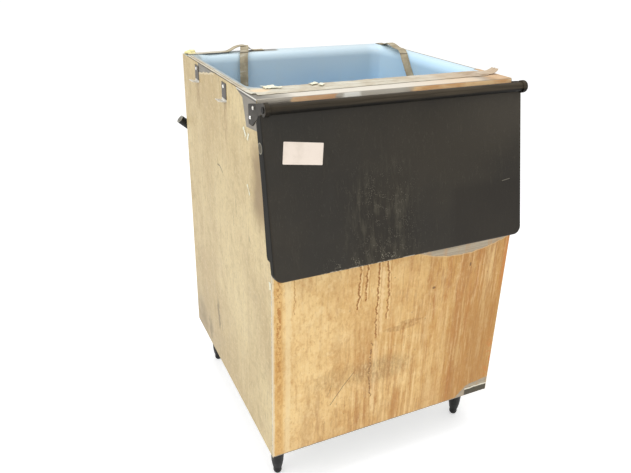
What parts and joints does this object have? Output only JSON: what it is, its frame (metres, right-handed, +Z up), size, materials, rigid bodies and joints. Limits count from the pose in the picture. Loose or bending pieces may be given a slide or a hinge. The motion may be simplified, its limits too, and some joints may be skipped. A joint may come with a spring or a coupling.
{
  "type": "ice storage bin",
  "caption": "Insulated steel ice storage bin on bullet feet, open at the top for an ice machine, with a blue liner, a sloped top-hinged door, scoop hooks and a drain hose",
  "frame": {"origin": "centre of the bounding box's bottom face, on the floor under the feet", "axes": "+Z up, the door faces -Y, +X to the right of someone who faces the door"},
  "size_m": [0.7952, 0.8638, 1.195],
  "materials": {
    "left_side_panel": "satin",
    "right_side_panel": "satin",
    "front_panel": "satin",
    "back_panel": "satin",
    "base_pan": "satin",
    "front_header": "satin",
    "foam_left": "matte",
    "foam_right": "matte",
    "foam_back": "matte",
    "foam_front": "matte",
    "foam_floor": "matte",
    "foam_header": "matte",
    "bin_liner": "gloss",
    "door_frame_trim": "matte",
    "rim_gasket_left": "matte",
    "rim_gasket_front": "matte",
    "rim_gasket_back_left": "matte",
    "rim_gasket_right": "matte",
    "hinge_bracket_left": "satin",
    "hinge_bracket_right": "satin",
    "hinge_bracket_screws": "satin",
    "hinge_pin_left": "satin",
    "hinge_pin_right": "satin",
    "hinge_roll": "gloss",
    "roll_bush_left": "matte",
    "roll_bush_right": "matte",
    "door_skin": "matte",
    "door_foam": "matte",
    "door_inner_panel": "gloss",
    "door_bumpers": "matte",
    "door_panel_screws": "satin",
    "scoop_hook_rear": "satin",
    "scoop_hook_front": "satin",
    "scoop_hook_screws": "satin",
    "drain_fitting": "matte",
    "drain_nut": "matte",
    "drain_pipe": "matte",
    "drain_hose": "matte",
    "hose_clamp": "satin",
    "hose_clips": "satin",
    "hose_clip_screws": "satin",
    "back_panel_screws": "satin",
    "leg_nut_plates": "satin",
    "leg_front_left": "matte",
    "leg_front_right": "matte",
    "leg_rear_left": "matte",
    "leg_rear_right": "matte",
    "foot_front_left": "satin",
    "foot_front_right": "satin",
    "foot_rear_left": "satin",
    "foot_rear_right": "satin",
    "lot_tag": "matte"
  },
  "bodies": {
    "cabinet": {"left_side_panel": "left_side_panel", "right_side_panel": "right_side_panel", "front_panel": "front_panel", "back_panel": "back_panel", "base_pan": "base_pan", "front_header": "front_header", "foam_left": "foam_left", "foam_right": "foam_right", "foam_back": "foam_back", "foam_front": "foam_front", "foam_floor": "foam_floor", "foam_header": "foam_header", "bin_liner": "bin_liner", "door_frame_trim": "door_frame_trim", "rim_gasket_left": "rim_gasket_left", "rim_gasket_front": "rim_gasket_front", "rim_gasket_back_left": "rim_gasket_back_left", "rim_gasket_right": "rim_gasket_right", "hinge_bracket_left": "hinge_bracket_left", "hinge_bracket_right": "hinge_bracket_right", "hinge_bracket_screws": "hinge_bracket_screws", "hinge_pin_left": "hinge_pin_left", "hinge_pin_right": "hinge_pin_right", "scoop_hook_rear": "scoop_hook_rear", "scoop_hook_front": "scoop_hook_front", "scoop_hook_screws": "scoop_hook_screws", "drain_fitting": "drain_fitting", "drain_nut": "drain_nut", "drain_pipe": "drain_pipe", "drain_hose": "drain_hose", "hose_clamp": "hose_clamp", "hose_clips": "hose_clips", "hose_clip_screws": "hose_clip_screws", "back_panel_screws": "back_panel_screws", "leg_nut_plates": "leg_nut_plates", "leg_front_left": "leg_front_left", "leg_front_right": "leg_front_right", "leg_rear_left": "leg_rear_left", "leg_rear_right": "leg_rear_right"},
    "door": {"door_skin": "door_skin", "door_foam": "door_foam", "door_inner_panel": "door_inner_panel", "door_bumpers": "door_bumpers", "door_panel_screws": "door_panel_screws", "hinge_roll": "hinge_roll", "roll_bush_left": "roll_bush_left", "roll_bush_right": "roll_bush_right", "lot_tag": "lot_tag"},
    "foot_front_left_body": {"foot_front_left": "foot_front_left"},
    "foot_front_right_body": {"foot_front_right": "foot_front_right"},
    "foot_rear_left_body": {"foot_rear_left": "foot_rear_left"},
    "foot_rear_right_body": {"foot_rear_right": "foot_rear_right"}
  },
  "joints": [
    {"name": "door_hinge", "type": "hinge", "parent": "cabinet", "child": "door", "pos_m": [0.01114, -0.35635, 1.159], "axis": [-1, 0, 0], "range_deg": [0, 110]},
    {"name": "foot_front_left_screw", "type": "slide", "parent": "cabinet", "child": "foot_front_left_body", "axis": [0, 0, -1], "range_m": [0, 0.025]},
    {"name": "foot_front_right_screw", "type": "slide", "parent": "cabinet", "child": "foot_front_right_body", "axis": [0, 0, -1], "range_m": [0, 0.025]},
    {"name": "foot_rear_left_screw", "type": "slide", "parent": "cabinet", "child": "foot_rear_left_body", "axis": [0, 0, -1], "range_m": [0, 0.025]},
    {"name": "foot_rear_right_screw", "type": "slide", "parent": "cabinet", "child": "foot_rear_right_body", "axis": [0, 0, -1], "range_m": [0, 0.025]}
  ]
}
